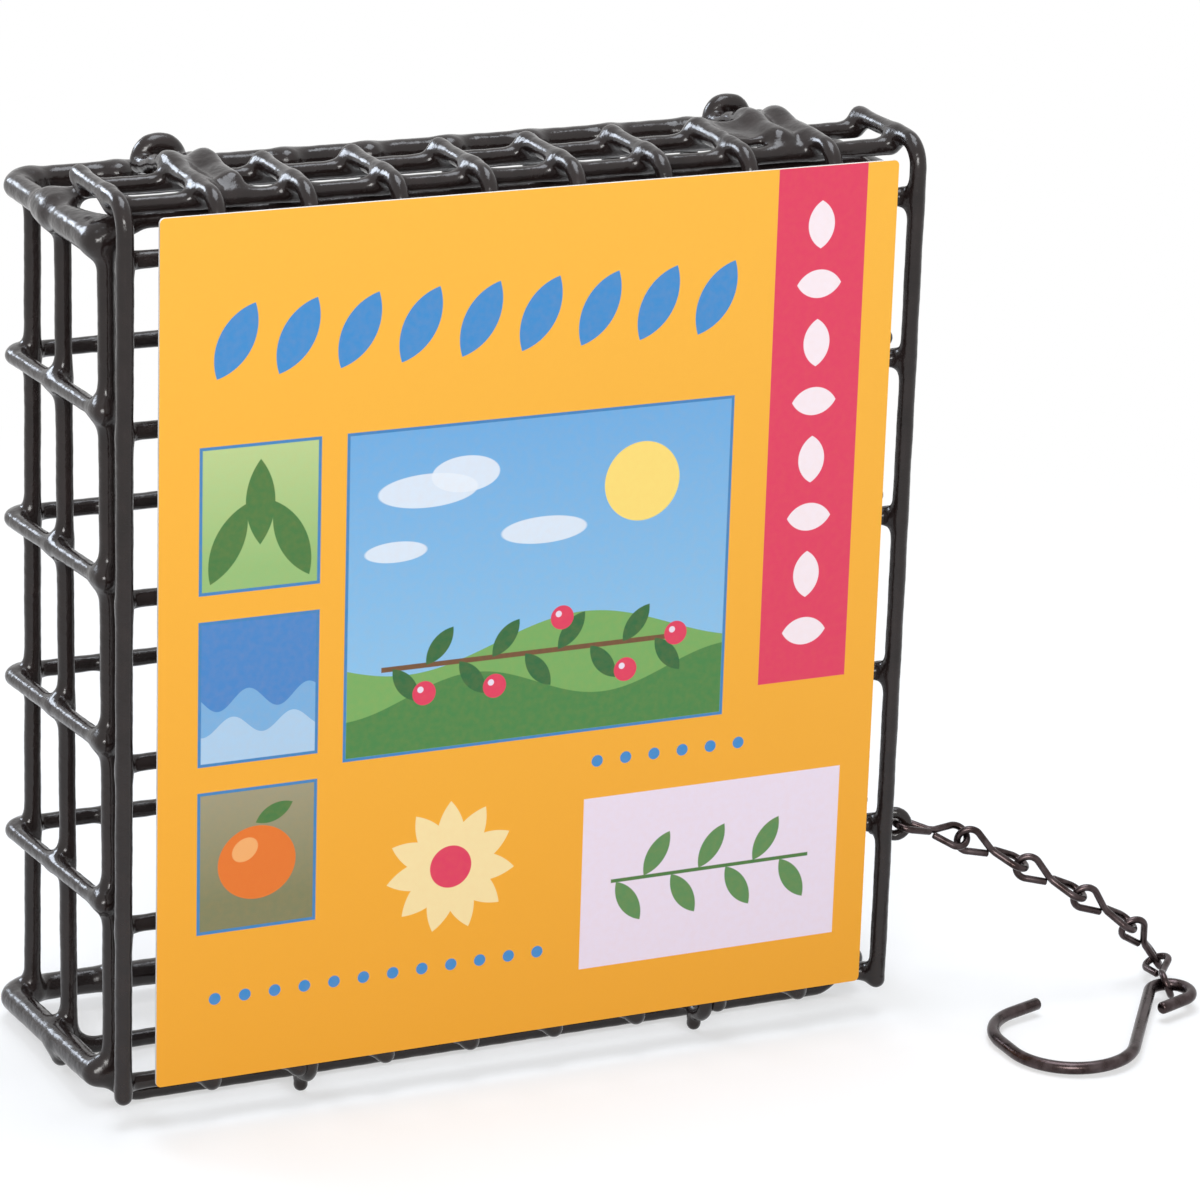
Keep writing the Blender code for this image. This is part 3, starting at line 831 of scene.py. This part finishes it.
# Leaves as (across, up, length, width, degrees), or as (length, width, degrees) where they repeat
PANEL_LEAVES = ((-48.5, 84, 13, 4.6, 65), (-38.5, 84, 13, 4.6, 115), (-43.5, 90, 13, 4.6, 90))
FRUIT_LEAF = (-40.8, 41.6, 6.4, 2.6, 24)
TWIG_LEAF = (7, 2.9, 52)
SPRIG_LEAF = (8, 3.2, 58)
HEADING_SEED = (12.5, 5.4, 62)
BAND_SEED = (7.4, 4.4)
# Rows of leaves as (first across, twig's height, pitch, lift, number)
TWIG_LEAVES = (-20, 61.8, 5.4, 2.8, 9)
SPRIG_LEAVES = (18, 22.9, 4.7, 3.6, 7)
# Rows of seeds: the heading as (first across, up, pitch, number), the band from its lowest seed up
HEADING_ROW = (-47.5, 114.5, 9.6, 9)
BAND_ROW = (46.5, 60, 9.2, 8)
# Heights between which a second colour fades in
SKY_FADE = (60, 99)
MEADOW_FADE = (80, 99)
TABLE_FADE = (28, 46)
# Wavy edges as (height, swell, wave length, shift)
FAR_HILL = (64, 3.4, 58, 0.6)
NEAR_HILL = (57, 2.8, 43, 2.9)
FAR_WATER = (60, 1.6, 9.5, 0)
NEAR_WATER = (56, 1.4, 9.5, 1.6)
# Star as (across, up, inner radius, outer radius, points, degrees)
STAR = (-12, 29, 7.2, 10.6, 11, 9)
STAR_HEART_R = 3.4

FRAME_BLUE = srgb(62, 132, 190)
CARD_BLUE = srgb(62, 140, 205)
CARD_PINK = srgb(226, 62, 96)
CARD_LILAC = srgb(240, 226, 242)
CARD_CREAM = srgb(252, 228, 170)
LEAF_GREEN = srgb(70, 120, 62)


class Print:
    """Builds a flat print out of masks, in millimetres on the card's face."""

    def __init__(self, tree, across, up, base):
        self.tree, self.u, self.v, self.colour = tree, across, up, base

    def math(self, operation, *values):
        return math_node(self.tree, operation, *values)

    def hypot(self, a, b):
        squares = self.math("ADD", self.math("MULTIPLY", a, a), self.math("MULTIPLY", b, b))
        return self.math("SQRT", squares)

    def mask(self, distance):
        """One inside, where the distance is negative, with a soft edge."""
        return to_range(self.tree, distance, -PRINT_EDGE, PRINT_EDGE, 1, 0)

    def box(self, left, low, right, high):
        du = self.math("ABSOLUTE", self.math("SUBTRACT", self.u, (left + right) / 2))
        dv = self.math("ABSOLUTE", self.math("SUBTRACT", self.v, (low + high) / 2))
        du = self.math("SUBTRACT", du, (right - left) / 2)
        dv = self.math("SUBTRACT", dv, (high - low) / 2)
        return self.mask(self.math("MAXIMUM", du, dv))

    def turned(self, cu, cv, angle):
        """Distances along and over a line through a point, at an angle in degrees."""
        du, dv = self.math("SUBTRACT", self.u, cu), self.math("SUBTRACT", self.v, cv)
        c, s = math.cos(math.radians(angle)), math.sin(math.radians(angle))
        along = self.math("ADD", self.math("MULTIPLY", du, c), self.math("MULTIPLY", dv, s))
        over = self.math("SUBTRACT", self.math("MULTIPLY", dv, c), self.math("MULTIPLY", du, s))
        return along, over

    def disc(self, cu, cv, ru, rv, angle=0):
        along, over = self.turned(cu, cv, angle)
        away = self.hypot(self.math("DIVIDE", along, ru), self.math("DIVIDE", over, rv))
        return self.mask(self.math("MULTIPLY", self.math("SUBTRACT", away, 1), min(ru, rv)))

    def leaf(self, cu, cv, length, width, angle):
        """A pointed leaf, which is where two round shapes overlap."""
        along, over = self.turned(cu, cv, angle)
        radius = (length ** 2 / 4 + width ** 2 / 4) / width
        over = self.math("ADD", self.math("ABSOLUTE", over), radius - width / 2)
        return self.mask(self.math("SUBTRACT", self.hypot(along, over), radius))

    def star(self, cu, cv, inner, outer, points, angle):
        along, over = self.turned(cu, cv, angle)
        turns = self.math("MULTIPLY", self.math("ARCTAN2", over, along), points / math.pi)
        swing = self.math("PINGPONG", turns, 1)
        edge = self.math("ADD", self.math("MULTIPLY", swing, outer - inner), inner)
        return self.mask(self.math("SUBTRACT", self.hypot(along, over), edge))

    def below(self, height, swell, length, shift):
        """Everything under a wavy edge."""
        phase = self.math("ADD", self.math("MULTIPLY", self.u, 2 * math.pi / length), shift)
        wave = self.math("MULTIPLY", self.math("SINE", phase), swell)
        return self.mask(self.math("SUBTRACT", self.v, self.math("ADD", wave, height)))

    def fade(self, low, high):
        """Grows from nothing at the low height to all at the high one."""
        return to_range(self.tree, self.v, low, high, 0, 1)

    def paint(self, colour, *masks, strength=1.0):
        """Lays a colour over the print where all the masks overlap."""
        factor = masks[0]
        for mask in masks[1:]:
            factor = self.math("MULTIPLY", factor, mask)
        if strength < 1:
            factor = self.math("MULTIPLY", factor, strength)
        node = self.tree.nodes.new("ShaderNodeMix")
        node.data_type = "RGBA"
        self.tree.links.new(factor, node.inputs["Factor"])
        self.tree.links.new(self.colour, node.inputs["A"])
        node.inputs["B"].default_value = (*colour, 1)
        self.colour = node.outputs["Result"]

    def panel(self, left, low, right, high, colour):
        """A picture panel in one colour with a thin blue frame. Gives the mask of its inside."""
        self.paint(FRAME_BLUE, self.box(left, low, right, high))
        inner = (left + PANEL_FRAME, low + PANEL_FRAME, right - PANEL_FRAME, high - PANEL_FRAME)
        inside = self.box(*inner)
        self.paint(colour, inside)
        return inside

    def leaves(self, first, middle, pitch, lift, count, leaf, colour):
        """Leaves along a level twig, in turn under and over it."""
        length, width, lean = leaf
        for i in range(count):
            side = 1 if i % 2 else -1
            mask = self.leaf(first + i * pitch, middle + lift * side, length, width, lean * side)
            self.paint(colour, mask)


def print_picture(card):
    """A garden picture: sky, sun, clouds and two hills behind a leafy twig with berries."""
    inside = card.panel(*PICTURE, srgb(142, 196, 235))
    card.paint(srgb(98, 165, 222), inside, card.fade(*SKY_FADE), strength=0.8)
    card.paint(srgb(253, 222, 120), inside, card.disc(*SUN))
    for cloud in CLOUDS:
        card.paint(srgb(232, 240, 250), inside, card.disc(*cloud), strength=0.85)
    card.paint(srgb(120, 172, 96), inside, card.below(*FAR_HILL))
    card.paint(srgb(72, 132, 70), inside, card.below(*NEAR_HILL))
    card.paint(srgb(112, 78, 52), inside, card.box(*TWIG))
    card.leaves(*TWIG_LEAVES, TWIG_LEAF, srgb(46, 104, 58))
    for across, up in BERRIES:
        card.paint(CARD_PINK, inside, card.disc(across, up, BERRY_R, BERRY_R))
        shine = card.disc(across - SHINE_SHIFT, up + SHINE_SHIFT, SHINE_R, SHINE_R)
        card.paint(CARD_LILAC, inside, shine)


def print_panels(card):
    """Three small panels down the left side: leaves, water and a fruit."""
    inside = card.panel(*LEAF_PANEL, srgb(150, 190, 120))
    card.paint(srgb(196, 214, 150), inside, card.fade(*MEADOW_FADE), strength=0.8)
    for leaf in PANEL_LEAVES:
        card.paint(LEAF_GREEN, inside, card.leaf(*leaf))
    inside = card.panel(*WATER_PANEL, srgb(72, 134, 200))
    card.paint(srgb(122, 176, 222), inside, card.below(*FAR_WATER))
    card.paint(srgb(176, 208, 236), inside, card.below(*NEAR_WATER))
    inside = card.panel(*FRUIT_PANEL, srgb(128, 128, 92))
    card.paint(srgb(168, 160, 132), inside, card.fade(*TABLE_FADE), strength=0.8)
    card.paint(srgb(232, 120, 44), inside, card.disc(*FRUIT))
    card.paint(srgb(246, 176, 110), inside, card.disc(*FRUIT_SHINE))
    card.paint(LEAF_GREEN, inside, card.leaf(*FRUIT_LEAF))


def print_ornaments(card):
    """The seed band on the right, the heading of slanted seeds, the star, the plate and the dots."""
    card.paint(CARD_PINK, card.box(*SEED_BAND))
    across, lowest, pitch, count = BAND_ROW
    for i in range(count):
        seed = card.leaf(across, lowest + i * pitch, *BAND_SEED, 90 if i % 2 else 0)
        card.paint(srgb(250, 236, 242), seed)
    first, up, pitch, count = HEADING_ROW
    for i in range(count):
        card.paint(CARD_BLUE, card.leaf(first + i * pitch, up, *HEADING_SEED))
    card.paint(CARD_CREAM, card.star(*STAR))
    card.paint(CARD_PINK, card.disc(*STAR[:2], STAR_HEART_R, STAR_HEART_R))
    card.paint(CARD_LILAC, card.box(*PLATE))
    card.paint(LEAF_GREEN, card.box(*SPRIG))
    card.leaves(*SPRIG_LEAVES, SPRIG_LEAF, srgb(92, 140, 84))
    for first, up, count in DOT_ROWS:
        for i in range(count):
            card.paint(CARD_BLUE, card.disc(first + i * DOT_PITCH, up, DOT_R, DOT_R))


# The card's finish: noise scales per metre, and heights of the relief in metres
SPECK_SCALE = 900
SPECK_HEIGHT = 0.00002
RIPPLE_SCALE = 120
RIPPLE_HEIGHT = 0.0006
# Above this height on the print the card ripples more, in millimetres
RIPPLE_START = 95


def card_material():
    """The printed front of the card, and its plain pale edges and back."""
    material, tree, shader = new_material("printed_card_face", srgb(249, 178, 55), 0.38)
    coordinates = tree.nodes.new("ShaderNodeTexCoord")
    place = coordinates.outputs["Object"]
    split = tree.nodes.new("ShaderNodeSeparateXYZ")
    tree.links.new(place, split.inputs["Vector"])
    across = math_node(tree, "MULTIPLY", split.outputs["X"], MM_PER_M)
    up = math_node(tree, "MULTIPLY_ADD", split.outputs["Z"], MM_PER_M, -CARD_LOW)
    ground = ramp(tree, to_range(tree, up, 0, PRINT_TOP, 0, 1),
                  [(0, srgb(246, 170, 46)), (1, srgb(252, 187, 64))])
    card = Print(tree, across, up, ground)
    print_picture(card)
    print_panels(card)
    print_ornaments(card)
    specks = noise(tree, SPECK_SCALE, 3, place)
    card.paint(srgb(240, 160, 60), to_range(tree, specks, 0.35, 0.75, 0, 0.05))
    # The print faces -Y. What faces another way is plain
    facing = tree.nodes.new("ShaderNodeSeparateXYZ")
    tree.links.new(coordinates.outputs["Normal"], facing.inputs["Vector"])
    card.paint(srgb(238, 232, 226), to_range(tree, facing.outputs["Y"], -0.6, -0.5, 0, 1))
    tree.links.new(card.colour, shader.inputs["Base Color"])
    ripple = noise(tree, RIPPLE_SCALE, 2, place)
    grows = to_range(tree, up, RIPPLE_START, PRINT_TOP, 0.25, 1)
    ripple = math_node(tree, "MULTIPLY", ripple, grows)
    fine = bump(tree, specks, SPECK_HEIGHT, 0.25)
    tree.links.new(bump(tree, ripple, RIPPLE_HEIGHT, 0.16, fine), shader.inputs["Normal"])
    shader.inputs["Specular IOR Level"].default_value = 0.3
    shader.inputs["Coat Weight"].default_value = 0.12
    shader.inputs["Coat Roughness"].default_value = 0.2
    return material


# The camera as solved from the photograph. It turns about the upright, then tips, then rolls
CAMERA_TURN = math.radians(25.6167)
CAMERA_TIP = math.radians(18.1828)
CAMERA_ROLL = math.radians(1.8621)
CAMERA_PLACE = (-0.30685, -0.67625, 0.31768)
CAMERA_NEAREST = 0.01
# In millimetres
LENS = 154.24
SENSOR = 36

# Lights as (name, place, size, watts, colour), all aimed at one point
LIGHT_AIM = (0, 0, 0.06)
LIGHTS = (("key_light", (-0.45, -1.0, 0.5), (0.5, 0.4), 9.3, (1, 0.99, 0.97)),
          ("top_light", (0.05, 0.05, 1.0), (0.5, 0.7), 7, (0.88, 0.93, 1)),
          ("rim_light", (-0.5, 0.85, 0.5), (0.4, 0.3), 5, (0.8, 0.88, 1)))
ROOM_COLOUR = (0.92, 0.95, 1)
ROOM_STRENGTH = 0.3

# The floor, in metres
FLOOR_HALF = 6
FLOOR_Z = -0.00013
# How plain white the floor looks at a near and at a far distance, as (near, far, share, share)
FLOOR_WHITE = (0.1, 0.35, 0.5, 1)
# How much light it throws back near the feeder and further out along its width, in the same way
FLOOR_BOUNCE = (0.08, 0.3, 0.25, 0.85)
FLOOR_ALONG = (0.91, -0.41, 0)
FLOOR_PALEST = (0.96, 0.96, 0.96)


def make_camera():
    level = Matrix(((1, 0, 0), (0, 0, -1), (0, 1, 0)))
    turn, roll = Matrix.Rotation(CAMERA_TURN, 3, "Z"), Matrix.Rotation(CAMERA_ROLL, 3, "Z")
    right, down, forward = roll @ Matrix.Rotation(CAMERA_TIP, 3, "X") @ level @ turn
    data = bpy.data.cameras.new("camera")
    data.sensor_width = SENSOR
    data.lens = LENS
    data.clip_start = CAMERA_NEAREST
    camera = bpy.data.objects.new("camera", data)
    bpy.context.scene.collection.objects.link(camera)
    axes = Matrix((right, -down, -forward)).transposed().to_4x4()
    camera.matrix_world = Matrix.Translation(CAMERA_PLACE) @ axes
    bpy.context.scene.camera = camera


def area_light(name, place, size, power, colour):
    data = bpy.data.lights.new(name, "AREA")
    data.color = colour
    data.shape = "RECTANGLE"
    data.size, data.size_y = size
    data.energy = power
    light = bpy.data.objects.new(name, data)
    light.location = place
    light.rotation_mode = "QUATERNION"
    light.rotation_quaternion = (Vector(LIGHT_AIM) - Vector(place)).to_track_quat("-Z", "Y")
    bpy.context.scene.collection.objects.link(light)


def seen_rays(tree):
    """1 for the rays that show the studio: from the camera, off a glossy face or through glass."""
    path = tree.nodes.new("ShaderNodeLightPath").outputs
    seen = math_node(tree, "MAXIMUM", path["Is Camera Ray"], path["Is Glossy Ray"])
    return math_node(tree, "MAXIMUM", seen, path["Is Transmission Ray"])


def shown_white(tree, shader, seen):
    """Plain white for the seen rays, the given shader for the others."""
    white = tree.nodes.new("ShaderNodeEmission")
    mix = tree.nodes.new("ShaderNodeMixShader")
    tree.links.new(seen, mix.inputs["Fac"])
    tree.links.new(shader, mix.inputs[1])
    tree.links.new(white.outputs["Emission"], mix.inputs[2])
    return mix.outputs["Shader"]


def make_room():
    """A dim room that looks plain white."""
    world = bpy.data.worlds.new("studio")
    world.use_nodes = True
    tree = world.node_tree
    background = tree.nodes["Background"]
    background.inputs["Color"].default_value = (*ROOM_COLOUR, 1)
    background.inputs["Strength"].default_value = ROOM_STRENGTH
    shown = shown_white(tree, background.outputs["Background"], seen_rays(tree))
    tree.links.new(shown, tree.nodes["World Output"].inputs["Surface"])
    bpy.context.scene.world = world


def on_place(tree, operation, place, *vector):
    """A number worked out from the place on the floor, and from a second vector if one is given."""
    node = tree.nodes.new("ShaderNodeVectorMath")
    node.operation = operation
    tree.links.new(place, node.inputs[0])
    if vector:
        node.inputs[1].default_value = vector
    return node.outputs["Value"]


def floor_material():
    """Pale where it is seen, and darker to light that only bounces off it near the feeder."""
    material, tree, shader = new_material("pale_floor", (0.93, 0.93, 0.93), 0.7)
    place = tree.nodes.new("ShaderNodeTexCoord").outputs["Object"]
    away = on_place(tree, "LENGTH", place)
    beside = math_node(tree, "ABSOLUTE", on_place(tree, "DOT_PRODUCT", place, *FLOOR_ALONG))
    seen = seen_rays(tree)
    pale = math_node(tree, "MAXIMUM", seen, to_range(tree, beside, *FLOOR_BOUNCE))
    tree.links.new(ramp(tree, pale, [(0, (0, 0, 0)), (1, FLOOR_PALEST)]), shader.inputs["Base Color"])
    plain = math_node(tree, "MULTIPLY", seen, to_range(tree, away, *FLOOR_WHITE))
    shown = shown_white(tree, shader.outputs["BSDF"], plain)
    tree.links.new(shown, tree.nodes["Material Output"].inputs["Surface"])
    return material


def make_floor():
    corners = [(FLOOR_HALF * x, FLOOR_HALF * y, FLOOR_Z) for x, y in ((-1, -1), (1, -1), (1, 1), (-1, 1))]
    mesh = bpy.data.meshes.new("floor")
    mesh.from_pydata(corners, [], [(0, 1, 2, 3)])
    mesh.materials.append(floor_material())
    floor = bpy.data.objects.new("floor", mesh)
    bpy.context.scene.collection.objects.link(floor)


def make_studio():
    """Soft lights in a room whose walls and far floor look white."""
    bpy.context.scene.view_settings.view_transform = "Standard"
    make_room()
    make_floor()
    for light in LIGHTS:
        area_light(*light)


vinyl = vinyl_material()
bronze = bronze_material()
layout = chain_layout()
bodies = frame["record"]["behaviour"]["bodies"]
door_nodes = [n for n in bodies["door"] if n != "label_card"]
coat("basket_coat", basket_groups(layout[0]), "basket", vinyl, bodies["basket"])
coat("door_coat", door_groups(), "door", vinyl, door_nodes)
for i, link in enumerate(layout[1:], start=1):
    tube(f"jack_link_{i}", link_route(link, LOOP_R), LINK_R, f"link_{i}", bronze, [f"chain_link_{i}"])
tube("hook_wire", hook_route(layout[-1]["far"]), HOOK_R, "hook", bronze, ["s_hook"])
label = frame["nodes"]["label_card"]
label.data.materials.clear()
label.data.materials.append(card_material())
make_camera()
make_studio()
